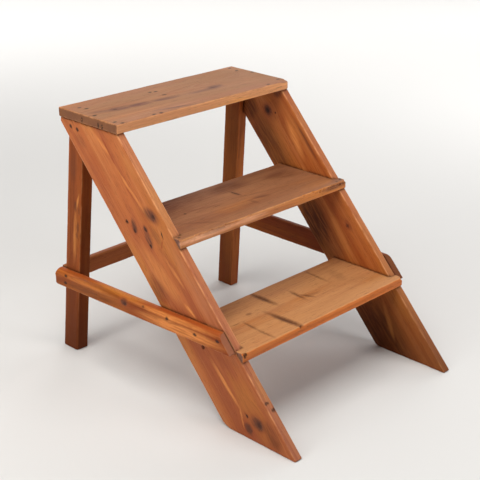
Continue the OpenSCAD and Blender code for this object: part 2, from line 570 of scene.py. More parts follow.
long, deep, thick = board_size["bottom_tread"]
housed_tread("bottom_tread", 1.8 * MM, [
    *[
        scoop((along, across, thick), (0.8 * wide, half_long, 0.45 * wide), (0, 0, turn))
        for along, across, wide, half_long, turn, dark in grooves
    ],
    scoop((0.184, 0.0, thick - 2 * MM), (4, 4, 5)),
    scoop((0.008, 0.0, thick - 6 * MM), (4, 5, 4)),
    scoop((0.0, 0.0, thick), (9, 5, 6)),
    scoop((long, 0.0, thick), (8, 7, 8)),
    *nicks((0.010, 0.0, thick), (0.540, 0.0, thick), 16, (10, 1.6, 1.4), 21),
])

# %% [markdown]
# ## The rear legs
# The legs are square posts that lean back and spread a little. Each is rebated at the
# top round the stringer's inner face and back edge. The left leg keeps a strip of wane,
# a natural rounded edge, down its front outer arris.

# %% Make the two legs
LEG_BELOW = 0.02
CUTTER_WIDE = 0.06


def leg(side, wane):
    """A rear leg, cut level at both ends and rebated round its stringer."""
    name = "leg_" + side
    place = places[name]
    board = sawn_board(name, LEG_SAWN, leg_deep, leg_wide[side])
    put_in_place(board, Matrix.Translation((-LEG_BELOW, 0, 0)))
    level_ends(board, place)
    outer = leg_wide[LEFT] if side == LEFT else 0.0
    round_over(board, wane, lambda p: p.y < MM and abs(p.z - outer) < MM, 2)
    ease_edges(board)
    side_board = sawn_board("cutter", STRINGER_SAWN, stringer_width, CUTTER_WIDE)
    lower_x = -inner_x if side == LEFT else inner_x + CUTTER_WIDE
    side_board.matrix_world = place.inverted() @ stringer_place(lower_x)
    cut_away(board, [side_board])
    age(name, board)


leg(LEFT, 5 * MM)
leg(RIGHT, 2.5 * MM)

# %% [markdown]
# ## The braces and the rail
# A brace runs along each side, nailed to the outer faces of the stringer and the leg.
# Its upper outer edge is rounded nearly to a quarter circle and its rear end has soft
# corners. Its front end follows the stringer's front edge. The rail ties the legs
# behind; its left end sits lower than its right.

# %% Make the braces and the rail


def brace_board(side):
    """A side brace, with one long edge rounded and its front end cut on the slope."""
    name = "brace_" + side
    long, top, thick = board_size[name]
    board = sawn_board(name, long, top, thick)
    outer = thick if side == LEFT else 0.0
    saw_off(board, places[name], (0, foot_front, 0), (0, -math.sin(slope), math.cos(slope)))
    round_over(board, 13 * MM, lambda p: p.y > top - MM and abs(p.z - outer) < MM, 3)
    round_over(board, 7 * MM, lambda p: p.x < MM and (p.y < MM or p.y > top - 13 * MM), 5)
    ease_edges(board)
    cut_away(board, nicks((0.05, 0, outer), (long - 0.1, 0, outer), 10, (12, 1.4, 1.4), 31))
    age(name, board)


brace_board(LEFT)
brace_board(RIGHT)

rail = sawn_board("rear_rail", *board_size["rear_rail"])
rail_rise = braces[RIGHT]["under"] - braces[LEFT]["under"]
edit_parts(rail, "VERT", "vertices", lambda corner: corner.co.x > half_width)
bpy.ops.transform.translate(value=(0, rail_rise, 0))
bpy.ops.object.mode_set(mode="OBJECT")
ease_edges(rail)
age("rear_rail", rail)
print("triangles:", sum(len(board.data.polygons) for board in boards.values()))

# %% [markdown]
# ## Nails
# The stool is nailed together. The heads are small and dark, some a little proud and
# some punched below the face. One head is modelled, a stub with a slightly domed and
# dimpled top, and is copied to every place. Each board's heads become one piece.

# %% Model one nail head and drive the copies
HEAD_RADIUS = 2.0 * MM
HEAD_LENGTH = 2.4 * MM
HEAD_SINK = 1.9 * MM


def nail_head():
    """A round head with a soft rim, standing on the origin."""
    bpy.ops.object.select_all(action="DESELECT")
    bpy.ops.mesh.primitive_cylinder_add(vertices=16, radius=HEAD_RADIUS, depth=HEAD_LENGTH)
    head = bpy.context.object
    edit_parts(head, "FACE", "polygons", lambda cap: cap.normal.z > 0.9)
    bpy.ops.mesh.inset(thickness=0.45 * MM, depth=0.35 * MM)
    bpy.ops.mesh.inset(thickness=0.6 * MM, depth=-0.15 * MM)
    bpy.ops.object.mode_set(mode="OBJECT")
    bpy.ops.object.shade_smooth()
    return head


def drive_nails(board, spots):
    """Copies the head to each spot of a flat board, and joins the copies."""
    name = board + "_nails"
    chance = random.Random(name)
    heads = []
    for along, across in spots:
        copy = model_head.copy()
        copy.data = model_head.data.copy()
        bpy.context.scene.collection.objects.link(copy)
        tilt = Matrix.Rotation(chance.uniform(-0.12, 0.12), 4, "X")
        spot = Matrix.Translation((along, across, board_size[board][2] - HEAD_SINK))
        copy.matrix_world = places[board] @ spot @ tilt
        heads.append(copy)
    print(f"{name}: {len(spots)} heads")
    return joined(heads, name)


nail_spots = {
    "top_tread": [
        (0.030, 0.161), (0.037, 0.145), (0.015, 0.090), (0.013, 0.021), (0.020, 0.005),
        (0.535, 0.186), (0.529, 0.156), (0.548, 0.119), (0.541, 0.026), (0.246, 0.147),
        (0.232, 0.151), (0.241, 0.112), (0.134, 0.006), (0.114, 0.007), (0.488, 0.010),
    ],
    "stringer_left": [(0.881, 0.125), (0.864, 0.111)],
    "brace_left": [(0.040, 0.030), (0.038, 0.012), (0.387, 0.028), (0.473, 0.018), (0.540, 0.024)],
}
model_head = nail_head()
nails = {board: drive_nails(board, spots) for board, spots in nail_spots.items()}
bpy.data.objects.remove(model_head, do_unlink=True)

# %% [markdown]
# ## Marks painted on the boards
# Two things depend on where a spot lies in the stool, and no pattern in a material can
# know them: how near another board is, and how near an arris. They are measured once
# for each vertex and stored on the mesh as attributes. The materials read them as grime
# and rim.

# %% Measure grime and rim
GRIME_REACH = 6 * MM
RIM_REACH = 4.5 * MM


def fall_off(distance, reach):
    """1 at no distance, falling smoothly to 0 at the reach."""
    share = min(max(distance / reach, 0.0), 1.0)
    return (1 - share) ** 2 * (1 + 2 * share)


def store(name, label, values):
    layer = boards[name].data.attributes.new(label, "FLOAT", "POINT")
    layer.data.foreach_set("value", values)


def board_tree(board):
    points = [vertex.co for vertex in board.data.vertices]
    return BVHTree.FromPolygons(points, [list(p.vertices) for p in board.data.polygons])


def paint_grime(name, trees):
    """Dirt gathers within a few millimetres of the next board."""
    others = [tree for other, tree in trees.items() if other != name]
    values = []
    for vertex in boards[name].data.vertices:
        near = GRIME_REACH
        for tree in others:
            distance = tree.find_nearest(vertex.co, near)[3]
            if distance is not None:
                near = min(near, distance)
        values.append(fall_off(near, GRIME_REACH))
    store(name, "grime", values)


def paint_rim(name):
    """The second nearest face of the plain board says how near an arris is."""
    size = board_size[name]
    to_board = places[name].inverted()
    values = []
    for vertex in boards[name].data.vertices:
        point = to_board @ vertex.co
        gaps = [abs(min(point[axis], size[axis] - point[axis])) for axis in range(3)]
        values.append(fall_off(sorted(gaps)[1], RIM_REACH))
    store(name, "rim", values)


trees = {name: board_tree(board) for name, board in boards.items()}
for name in boards:
    paint_grime(name, trees)
    paint_rim(name)
print("painted", len(boards), "boards")

# %% [markdown]
# ## Node helpers
# A material is a graph of nodes. Writing every link by hand makes long code, so one
# class holds a graph and adds nodes to it. An input is given either as a value or as
# the socket to link to it. A few more methods name the sums that come back again and
# again, and a second class makes a node group that other graphs can use.

# %% Build node graphs in few lines


class Graph:
    """A node tree, with short names for its most frequent nodes."""

    def __init__(self, tree):
        self.tree = tree

    def fill(self, node, inputs):
        """Gives a node's inputs their values, and links those that are sockets."""
        for label, value in inputs.items():
            if isinstance(value, bpy.types.NodeSocket):
                self.tree.links.new(value, node.inputs[label])
            else:
                node.inputs[label].default_value = value
        return node.outputs

    def add(self, kind, inputs, **options):
        """Adds a node with these options and inputs, and gives its outputs."""
        node = self.tree.nodes.new("ShaderNode" + kind)
        for option, value in options.items():
            setattr(node, option, value)
        return self.fill(node, inputs)

    def math(self, operation, *values):
        return self.add("Math", dict(enumerate(values)), operation=operation)[0]

    def times(self, first, second):
        return self.math("MULTIPLY", first, second)

    def most(self, first, second):
        return self.math("MAXIMUM", first, second)

    def total(self, start, *parts):
        """The start, plus each part's value times its weight."""
        for value, weight in parts:
            start = self.math("MULTIPLY_ADD", value, weight, start)
        return start

    def vector(self, operation, *values):
        outputs = self.add("VectorMath", dict(enumerate(values)), operation=operation)
        return outputs["Value" if operation in ("LENGTH", "DOT_PRODUCT") else "Vector"]

    def scaled(self, vector, amount):
        return self.add("VectorMath", {0: vector, "Scale": amount}, operation="SCALE")[0]

    def part(self, vector, axis):
        return self.add("SeparateXYZ", {0: vector})[axis]

    def step(self, value, start, end):
        """0 at the start value, 1 at the end value, smooth between."""
        inputs = {"Value": value, "From Min": start, "From Max": end}
        return self.add("MapRange", inputs, interpolation_type="SMOOTHSTEP")[0]

    def mix(self, amount, under, over, how="MIX"):
        """Mixes two colours."""
        inputs = {0: amount, 6: under, 7: over}
        return self.add("Mix", inputs, data_type="RGBA", blend_type=how)[2]

    def noise(self, vector, scale, detail=2.0, output="Fac"):
        """Noise on a vector that is first scaled differently each way."""
        stretched = self.vector("MULTIPLY", vector, scale)
        return self.add("TexNoise", {"Vector": stretched, "Scale": 1.0, "Detail": detail})[output]

    def line_noise(self, value, detail=2.0):
        """Noise along a single number."""
        inputs = {"W": value, "Scale": 1.0, "Detail": detail}
        return self.add("TexNoise", inputs, noise_dimensions="1D")[0]

    def use(self, group, inputs):
        return self.add("Group", inputs, node_tree=group.tree)


class Group(Graph):
    """A node group. Its inputs and outputs are named, each with a value of its kind."""

    def __init__(self, name, inputs, outputs):
        super().__init__(bpy.data.node_groups.new(name, "ShaderNodeTree"))
        for direction, sockets in (("INPUT", inputs), ("OUTPUT", outputs)):
            for label, value in sockets.items():
                kind = "NodeSocketFloat" if isinstance(value, float) else "NodeSocketVector"
                socket = self.tree.interface.new_socket(label, in_out=direction, socket_type=kind)
                socket.default_value = value
        self.given = self.tree.nodes.new("NodeGroupInput").outputs
        self.result = self.tree.nodes.new("NodeGroupOutput")

    def give(self, results):
        """Links the results to the group's outputs."""
        self.fill(self.result, results)
        print("group:", self.tree.name)
        return self


# %% [markdown]
# ## The figure of pine
# A tree grows as nested cones round its pith, pale early wood and dark late wood in
# each year's ring. A board is a flat slice through them. So the pattern is worked out
# as the tree makes it: the distance from a wandering pith, cut into rings, each fading
# from pale to dark and then ending sharply. Drift tilts the pith through the board,
# which gives the long pointed arches of a flat-sawn face.

# %% Group: pine figure
ZERO = (0.0, 0.0, 0.0)
HALF = (0.5, 0.5, 0.5)
DRIFT = (0.0, 0.0, 0.02)
WANDER = 0.03


def make_pine_figure():
    inputs = {"Place": ZERO, "Pith": ZERO, "Ring gap": 0.004, "Seed": 0.0}
    outputs = ("Late wood", "Line", "Pale line", "Streak", "Hue", "Fibre", "Fleck")
    graph = Group("pine figure", inputs, dict.fromkeys(outputs, 0.0))
    given = graph.given
    seed = graph.add("CombineXYZ", dict.fromkeys(range(3), given["Seed"]))[0]
    place = graph.vector("ADD", given["Place"], seed)
    slow = graph.noise(place, (1.1, 6.0, 6.0), 1.0, "Color")
    wander = graph.scaled(graph.vector("SUBTRACT", slow, HALF), WANDER)
    drift = graph.scaled(DRIFT, graph.part(given["Place"], "X"))
    away = graph.vector("SUBTRACT", given["Place"], given["Pith"])
    away = graph.vector("SUBTRACT", away, drift)
    away = graph.vector("ADD", away, wander)
    radius = graph.vector("LENGTH", graph.vector("MULTIPLY", away, (0.0, 1.0, 1.0)))
    wobble = graph.math("SUBTRACT", graph.noise(place, (7.0, 80.0, 80.0)), 0.5)
    radius = graph.total(radius, (wobble, 0.0016))

    band = graph.line_noise(graph.total(given["Seed"], (radius, 70.0)))
    count = graph.total(graph.math("DIVIDE", radius, given["Ring gap"]), (band, 2.0))
    ring = graph.math("FRACT", count)
    late = graph.times(graph.step(ring, 0.25, 0.9), graph.step(ring, 1.0, 0.93))
    lines = {}
    for label, rate, shift, start, end in (
        ("Line", 260.0, 5.0, 0.66, 0.72), ("Pale line", 120.0, 40.0, 0.60, 0.72),
    ):
        spot = graph.total(graph.math("ADD", given["Seed"], shift), (radius, rate))
        crisp = graph.step(graph.line_noise(spot, 0.0), start, end)
        broken = graph.step(graph.noise(place, (3.0, 20.0, 20.0)), 0.4, 0.6)
        lines[label] = graph.times(crisp, broken)
    return graph.give({
        **lines,
        "Late wood": graph.times(late, graph.step(band, 0.3, 0.7)),
        "Hue": graph.noise(place, (3.4, 15.0, 15.0)),
        "Streak": graph.noise(place, (1.3, 26.0, 26.0), 3.0),
        "Fibre": graph.noise(place, (16.0, 600.0, 600.0)),
        "Fleck": graph.step(graph.noise(place, (38.0, 900.0, 900.0), 1.0), 0.64, 0.72),
    })


pine_figure = make_pine_figure()

# %% [markdown]
# ## Knots and dark marks
# A knot is a branch that the board cuts across. The grain flows round it like water
# round a post, so the group squeezes the place that the figure is read from towards the
# knot's middle, and every ring bends aside. It also gives the knot's heart, the broken
# bark line round it and a soft red halo. A mark is plainer: a ragged ellipse for a
# stained gouge, the wood round a nail or a patch of another tone. Both are chained,
# each one handing on what came before it.

# %% Groups: knot and mark


def make_knot():
    effects = {"Place": ZERO, "Heart": 0.0, "Bark": 0.0, "Halo": 0.0}
    inputs = {**effects, "Ragged": ZERO, "Centre": ZERO, "Size": 0.008, "Length": 1.0}
    graph = Group("knot", inputs, effects)
    given = graph.given
    away = graph.vector("SUBTRACT", given["Ragged"], given["Centre"])
    shrink = {0: graph.math("DIVIDE", 1.0, given["Length"]), 1: 1.0, 2: 0.1}
    flat = graph.vector("MULTIPLY", away, graph.add("CombineXYZ", shrink)[0])
    share = graph.math("DIVIDE", graph.vector("LENGTH", flat), given["Size"])

    heart = graph.step(share, 1.3, 0.3)
    line = graph.math("ABSOLUTE", graph.math("SUBTRACT", share, 0.95))
    broken = graph.step(graph.noise(given["Ragged"], (160.0, 160.0, 160.0), 1.0), 0.42, 0.6)
    bark = graph.times(graph.step(line, 0.42, 0.05), broken)
    wide = graph.times(share, share)
    halo = graph.math("EXPONENT", graph.times(wide, -0.22))
    squeeze = graph.times(graph.math("EXPONENT", graph.times(wide, -0.1)), 0.85)
    pull = graph.scaled(graph.vector("MULTIPLY", away, (0.0, 1.0, 0.0)), squeeze)
    return graph.give({
        "Place": graph.vector("SUBTRACT", given["Place"], pull),
        "Heart": graph.most(heart, given["Heart"]),
        "Bark": graph.most(bark, given["Bark"]),
        "Halo": graph.most(halo, given["Halo"]),
    })


def make_mark():
    inputs = {
        "Ragged": ZERO, "Centre": ZERO, "Turn": ZERO, "Reach": (1.0, 1.0, 1.0),
        "Strength": 1.0, "Mark": 0.0,
    }
    graph = Group("mark", inputs, {"Mark": 0.0})
    given = graph.given
    frame_of_mark = {
        "Vector": given["Ragged"], "Location": given["Centre"],
        "Rotation": given["Turn"], "Scale": given["Reach"],
    }
    local = graph.add("Mapping", frame_of_mark, vector_type="TEXTURE")[0]
    mask = graph.step(graph.vector("LENGTH", local), 1.15, 0.35)
    mask = graph.times(mask, given["Strength"])
    return graph.give({"Mark": graph.most(mask, given["Mark"])})


knot = make_knot()
mark = make_mark()

# %% [markdown]
# ## Wear and dirt
# Every board shares the same kinds of age. Rubbed arrises go pale where the varnish is
# gone, broken up by noise so that no edge is worn evenly. Grime is brown and sits in
# the joints. One group turns the painted attributes and some noise into masks, and
# another draws fine scratches.

# %% Groups: age masks and scratches


def make_age_masks():
    graph = Group("age masks", {"Place": ZERO, "Wear": 0.6}, {"Worn": 0.0, "Grime": 0.0, "Patch": 0.0})
    place = graph.given["Place"]
    rim = graph.add("Attribute", {}, attribute_name="rim")["Fac"]
    grime = graph.add("Attribute", {}, attribute_name="grime")["Fac"]
    chafe = graph.noise(place, (30.0, 90.0, 90.0), 4.0)
    rubbed = graph.times(rim, graph.step(chafe, 0.34, 0.62))
    gathered = graph.times(grime, graph.step(chafe, 0.2, 0.6))
    return graph.give({
        "Worn": graph.times(rubbed, graph.given["Wear"]),
        "Grime": graph.times(gathered, 0.8),
        "Patch": graph.noise(place, (5.0, 9.0, 9.0), 3.0),
    })


def make_scratches():
    graph = Group("scratches", {"Place": ZERO}, {"Scratch": 0.0})
    scratch = 0.0
    for turn, shift in ((0.35, 2.0), (-0.6, 5.0), (1.35, 9.0)):
        inputs = {"Vector": graph.given["Place"], "Rotation": (0, 0, turn), "Location": (shift, 0, 0)}
        fine = graph.noise(graph.add("Mapping", inputs)[0], (9.0, 420.0, 420.0), 1.0)
        scratch = graph.most(scratch, graph.step(fine, 0.69, 0.75))
    return graph.give({"Scratch": scratch})


age_masks = make_age_masks()
scratches = make_scratches()

# %% [markdown]
# ## Oiled pine, board by board
# All the boards share one recipe, with their own log, knots and tones. The place on the
# board comes from Object coordinates through a Mapping node that undoes the board's
# matrix, so that the grain runs along each board whichever way it stands. Colours go on
# as a list of layers: the wood's streaks, the trodden tread, pale with wear and with a
# painted sheen, late wood and fibre, the knots, the narrow faces with their painted light
# and shade, the end grain, rubbed edges, grime, and painted shade near the floor. Painted
# marks come next and stains last; the shade marks are mostly painted shadows. All marks
# but stains and grooves are combed along the grain, so that they look like part of the wood.

# %% Name the tones of pine, as screen values of 0 to 255


def paint(red, green, blue):
    """A colour from screen values."""
    shares = [value / 255 for value in (red, green, blue)]
    linear = [s / 12.92 if s < 0.04045 else ((s + 0.055) / 1.055) ** 2.4 for s in shares]
    return (*linear, 1.0)


orange_pine = {
    "early": (188, 106, 56), "late": (132, 62, 28), "streak": (165, 87, 49),
    "light": (206, 132, 76), "golden": (190, 116, 52), "worn": (222, 156, 104),
    "end": (112, 72, 48), "knot": (84, 48, 30), "bark": (42, 22, 16), "halo": (150, 66, 36),
    "grime": (58, 30, 16), "stain": (34, 19, 13), "tread": (200, 150, 100),
    "plum": (98, 55, 38), "rust": (150, 66, 30), "honey": (226, 146, 76),
    # shade is a painted shade tone: it darkens the boards where shadows fall on them
    "shade": (86, 38, 14), "bloom": (240, 176, 134), "groove": (112, 66, 38),
}
dark_pine = {
    "early": (150, 74, 32), "late": (102, 44, 16), "streak": (124, 56, 24),
    "light": (168, 94, 46), "golden": (146, 80, 30), "worn": (186, 116, 68),
}
trodden_pine = {"early": (188, 118, 70), "light": (200, 140, 88), "streak": (160, 98, 60)}
print(len(orange_pine), "tones of pine")

# %% Place marks on a board
MARK_DEPTH = 8 * MM


def stroke(start, end, half_wide, strength):
    """A long mark from one place on the board to another, as a spot."""
    run = Vector(end) - Vector(start)
    middle = (Vector(start) + Vector(end)) / 2
    return (*middle, run.length / 2 / MM, half_wide, math.atan2(run.y, run.x), strength)


def ragged_place(graph, flat):
    """The place on the board, shaken a little, so that painted marks have rough rims."""
    shake = graph.noise(flat, (90.0, 200.0, 200.0), 2.0, "Color")
    shake = graph.vector("SUBTRACT", shake, HALF)
    shake = graph.vector("MULTIPLY", shake, (7 * MM, 3.5 * MM, 0.0))
    return graph.vector("ADD", flat, shake)


def marks_mask(graph, ragged, board, spots):
    """One mask for many spots. A spot gives its middle along and across in metres, its
    reach along and across in millimetres, its turn, its strength and perhaps its height."""
    mask = 0.0
    for along, across, reach_along, reach_across, turn, strength, *height in spots:
        mask = graph.use(mark, {
            "Ragged": ragged,
            "Centre": (along, across, height[0] if height else board_size[board][2]),
            "Turn": (0.0, 0.0, turn),
            "Reach": (reach_along * MM, reach_across * MM, MARK_DEPTH),
            "Strength": strength,
            "Mark": mask,
        })["Mark"]
    return mask


# %% The recipe for a board's material
NAIL_STAIN = (7, 4.6, 0.0, 0.9)
finishes = {}


def faces_along(graph, normal, board, line, start, end):
    """1 where a face looks along this line of the flat board, and 0 where it doesn't."""
    line = tuple(places[board].to_3x3() @ Vector(line))
    facing = graph.math("ABSOLUTE", graph.vector("DOT_PRODUCT", normal, line))
    return graph.step(facing, start, end)


def pine_material(
    board, log, gap=3.4, contrast=0.3, crisp=0.35, knots=(), marks=None, tones=None,
    narrow_face_shading=(1.0, 1.0, 1.0), tread=0.0, wear=0.5, feet=0.0, shine=0.16,
):
    """Pine for one board, with its own log, knots, marks and tones. The log gives its
    seed and how far its pith lies across the board and above its lower side."""
    tones = {tone: paint(*shade) for tone, shade in {**orange_pine, **(tones or {})}.items()}
    tones["narrow_face_shading"] = (*narrow_face_shading, 1.0)
    material = bpy.data.materials.new("pine_" + board)
    material.use_nodes = True
    graph = Graph(material.node_tree)
    to_board = places[board].inverted()
    coordinates = graph.add("TexCoord", {})
    place, normal = coordinates["Object"], coordinates["Normal"]
    undo = {"Vector": place, "Location": to_board.translation, "Rotation": to_board.to_euler()}
    flat = graph.add("Mapping", undo)[0]
    ragged = ragged_place(graph, flat)

    bent = {"Place": flat, "Heart": 0.0, "Bark": 0.0, "Halo": 0.0}
    for along, across, size, length in knots:
        found = graph.use(knot, {
            **bent, "Ragged": ragged, "Centre": (along, across, board_size[board][2]),
            "Size": size * MM, "Length": length,
        })
        bent = {label: found[label] for label in bent}
    seed, pith_y, pith_z = log
    figure = graph.use(pine_figure, {
        "Place": bent["Place"], "Pith": (0.0, pith_y, pith_z), "Ring gap": gap * MM, "Seed": seed,
    })
    masks = graph.use(age_masks, {"Place": flat, "Wear": wear})
    scratch = graph.use(scratches, {"Place": flat})["Scratch"]

    streak = figure["Streak"]
    pale_line = graph.times(figure["Pale line"], crisp)
    pale = graph.most(graph.times(graph.step(streak, 0.42, 0.28), 0.7), pale_line)
    # Wear and painted sheen: upward faces go pale in the tread tone, which also stands in for the sheen
    # on trodden tops.
    trodden_and_sheen = graph.times(graph.step(graph.part(normal, "Z"), 0.6, 0.95), tread)
    trodden_and_sheen = graph.times(trodden_and_sheen, graph.step(masks["Patch"], 0.1, 0.48))
    trodden_and_sheen = graph.times(trodden_and_sheen, graph.step(streak, 0.78, 0.44))
    dark_line = graph.times(figure["Line"], crisp)
    late = graph.most(graph.times(figure["Late wood"], contrast), dark_line)
    # Painted light and shade: the narrow faces get their own colour multiplier, lighter on some boards
    # and darker on others, for how the light falls on them.
    narrow_face = faces_along(graph, normal, board, (0, 1, 0), 0.5, 0.85)
    end_face = faces_along(graph, normal, board, (1, 0, 0), 0.55, 0.85)
    # Painted shade: towards the floor the colour goes to the shade tone, as far as the feet amount says.
    near_floor = graph.step(graph.part(place, "Z"), 0.26, 0.0)
    colour = graph.mix(graph.step(streak, 0.38, 0.62), tones["early"], tones["streak"])
    for amount, tone, how in (
        (graph.times(graph.step(figure["Hue"], 0.5, 0.66), 0.7), "golden", "MIX"),
        (pale, "light", "MIX"),
        (trodden_and_sheen, "tread", "MIX"),
        (late, "late", "MIX"),
        (graph.times(graph.step(figure["Fibre"], 0.3, 0.7), 0.12), "late", "MULTIPLY"),
        (graph.times(figure["Fleck"], 0.5), "bark", "MIX"),
        (graph.times(bent["Halo"], 0.6), "halo", "MIX"),
        (graph.times(bent["Heart"], 0.85), "knot", "MIX"),
        (graph.times(bent["Bark"], 0.45), "bark", "MIX"),
        (narrow_face, "narrow_face_shading", "MULTIPLY"),
        (graph.times(end_face, 0.85), "end", "MIX"),
        (masks["Worn"], "worn", "MIX"),
        (masks["Grime"], "grime", "MIX"),
        (graph.times(near_floor, feet), "shade", "MIX"),
    ):
        colour = graph.mix(amount, colour, tones[tone], how)

    marks = dict(marks or {})
    marks["stain"] = [(*spot, *NAIL_STAIN) for spot in nail_spots.get(board, [])] + marks.get("stain", [])
    combed = graph.step(graph.noise(flat, (22.0, 240.0, 240.0), 3.0), 0.34, 0.6)
    combed = graph.math("MULTIPLY_ADD", combed, 0.45, 0.55)
    for tone, spots in marks.items():
        mask = marks_mask(graph, ragged, board, spots)
        if tone not in ("stain", "groove"):
            mask = graph.times(mask, combed)
        colour = graph.mix(mask, colour, tones[tone])

    height = graph.total(
        0.0, (figure["Late wood"], 0.35), (figure["Fibre"], 0.5), (scratch, -0.5), (bent["Bark"], -0.6)
    )
    graph.fill(graph.tree.nodes["Principled BSDF"], {
        "Base Color": colour,
        "Roughness": graph.total(
            0.36, (masks["Patch"], 0.22), (masks["Worn"], 0.2), (trodden_and_sheen, 0.2), (masks["Grime"], 0.3)
        ),
        "Specular IOR Level": shine,
        "Normal": graph.add("Bump", {"Height": height, "Strength": 0.5, "Distance": 0.5 * MM})[0],
    })
    finishes[board] = material


# %% [markdown]
# ## Dress the boards
# Each board gets the log that it was sawn from. A pith far below the board gives broad
# arches, and a pith beside it gives straight lines. The treads are trodden pale on top,
# a paleness that also paints their sheen, and the legs, the braces and the rail were cut
# from darker wood. Painted shadows go on as shade marks. Places on a board are given in
# metres along and across it, and the sizes of marks and knots in millimetres.

# %% Give the stringers their wood
pine_material(
    "stringer_left", (3.0, 0.060, -0.030), contrast=0.22, crisp=0.2, wear=0.9, feet=0.15,
    narrow_face_shading=(1.0, 1.2, 1.8),
    tones={"tread": (182, 114, 76)},
    knots=[
        (0.597, 0.027, 7, 1.4), (0.603, 0.100, 5, 1.6), (0.585, 0.068, 4, 1.5),
        (0.107, 0.048, 10, 1.3), (0.109, 0.081, 8, 1.3), (0.133, 0.067, 3, 1.5),
    ],
    marks={
        "tread": [stroke((0.560, 0.020), (0.220, 0.020), 22, 0.6)],
        # Painted shade: the two shade spots darken the foot near the front edge and the back edge just
        # above the brace.
        "shade": [(0.070, 0.026, 44, 20, 0.0, 0.6), (0.460, 0.128, 46, 26, 0.0, 0.6)],
        "honey": [
            stroke((0.830, 0.066), (0.760, 0.054), 5, 0.6),
            stroke((0.760, 0.060), (0.590, 0.040), 5, 0.6),
            stroke((0.575, 0.110), (0.390, 0.080), 24, 0.45),
            stroke((0.520, 0.058), (0.420, 0.046), 5, 0.5),
            stroke((0.408, 0.073), (0.358, 0.059), 5, 0.8),
            stroke((0.165, 0.070), (0.110, 0.098), 3, 0.5),
            stroke((0.281, 0.083), (0.144, 0.076), 6, 0.7),
        ],
        "rust": [
            stroke((0.822, 0.048), (0.725, 0.054), 2.4, 0.9),
            stroke((0.735, 0.055), (0.690, 0.058), 2.4, 0.5),
            stroke((0.690, 0.058), (0.636, 0.050), 2.6, 0.9),
            stroke((0.545, 0.031), (0.525, 0.057), 2.6, 0.7),
            stroke((0.585, 0.028), (0.548, 0.042), 2, 0.5), (0.760, 0.110, 70, 26, 0.0, 0.35),
            (0.436, 0.129, 16, 6, 0.3, 0.6), (0.600, 0.055, 40, 12, 0.2, 0.3),
        ],
        "plum": [
            (0.600, 0.030, 30, 16, 0.5, 0.9), (0.608, 0.096, 22, 10, -0.36, 0.9),
            (0.585, 0.068, 13, 8, 0.0, 0.8), (0.565, 0.074, 27, 11, -0.17, 1.0),
            (0.560, 0.048, 30, 10, 0.1, 0.4), (0.108, 0.049, 25, 17, 0.3, 0.9),
            (0.108, 0.082, 18, 12, 0.0, 0.8), (0.840, 0.118, 30, 14, 0.3, 0.3),
        ],
        "stain": [
            (0.549, 0.079, 6, 4.5, 0.0, 1.0), (0.627, 0.111, 6.5, 4.6, 0.2, 1.0),
            (0.551, 0.0285, 10, 3, -0.4, 0.85), (0.600, 0.102, 6, 4, 0.0, 0.7),
            (0.585, 0.068, 6, 4, 0.0, 0.6), (0.594, 0.025, 8, 5, 0.5, 0.6),
            (0.305, 0.087, 6, 5, 0.0, 0.95), (0.133, 0.067, 4, 3, 0.0, 0.8),
            (0.104, 0.046, 9, 6, 0.0, 0.55), (0.135, 0.0, 5, 4, 0.0, 0.8, 0.014),
            (0.117, 0.0, 6, 4, 0.0, 0.8, 0.006),
        ],
    },
)
pine_material(
    "stringer_right", (7.0, 0.110, -0.020), crisp=0.3, wear=0.9, feet=0.6, shine=0.1,
    narrow_face_shading=(0.94, 1.06, 1.7),
    tones={"early": (190, 110, 54), "streak": (164, 84, 38), "shade": (72, 33, 12)},
    knots=[(0.773, 0.072, 9, 1.3), (0.420, 0.034, 4, 1.3)],
    marks={
        # Painted shadow: the shade marks, in a darker shade tone, darken the inner face under the treads
        # and along its back half.
        "shade": [
            stroke((0.820, 0.122), (0.570, 0.122), 42, 0.6), (0.120, 0.120, 190, 80, 0.0, 0.85),
            (0.420, 0.125, 90, 60, 0.0, 0.5), stroke((0.580, 0.100), (0.370, 0.136), 48, 0.9),
            (0.815, 0.125, 50, 38, 0.0, 0.8),
        ],
        "honey": [
            stroke((0.730, 0.034), (0.610, 0.052), 13, 0.7),
            stroke((0.610, 0.066), (0.540, 0.074), 6, 0.5),
            stroke((0.520, 0.056), (0.310, 0.082), 12, 0.4),
            stroke((0.232, 0.053), (0.120, 0.090), 8, 0.35),
        ],
        "plum": [
            (0.420, 0.031, 20, 9, 0.0, 0.5), (0.773, 0.073, 20, 15, 0.0, 0.7),
            (0.790, 0.016, 16, 18, 0.0, 0.8), stroke((0.720, 0.012), (0.580, 0.014), 6, 0.7),
        ],
        "stain": [(0.754, 0.055, 4, 3, 0.0, 0.9), (0.773, 0.073, 9, 6, 0.0, 0.6)],
    },
)
print("finished:", ", ".join(finishes))

# %% Give the treads their wood
pine_material(
    "top_tread", (11.0, 0.110, -0.045), gap=3.0, tread=0.9, narrow_face_shading=(1.8, 2.3, 2.7),
    tones={**trodden_pine, "tread": (150, 108, 76), "plum": (108, 70, 58)},
    knots=[(0.140, 0.090, 3, 2.5)],
    marks={
        "plum": [
            stroke((0.010, 0.112), (0.090, 0.092), 11, 0.6),
            stroke((0.045, 0.100), (0.130, 0.088), 16, 0.9),
            stroke((0.100, 0.094), (0.185, 0.086), 14, 1.0),
            stroke((0.170, 0.090), (0.270, 0.080), 11, 0.9),
            stroke((0.115, 0.032), (0.260, 0.002), 6, 0.8),
            stroke((0.260, 0.080), (0.420, 0.072), 11, 0.7), (0.375, 0.082, 36, 14, 0.05, 0.9),
        ],
        "stain": [
            (0.370, 0.081, 16, 5, 0.0, 0.45), (0.078, 0.095, 9, 3, -0.1, 0.6),
            (0.0, 0.062, 5, 3, 0.0, 1.0, 0.008), (0.0, 0.049, 5, 3, 0.0, 0.9, 0.007),
            (0.0, 0.117, 5, 3, 0.0, 0.9, 0.009),
        ],
    },
)
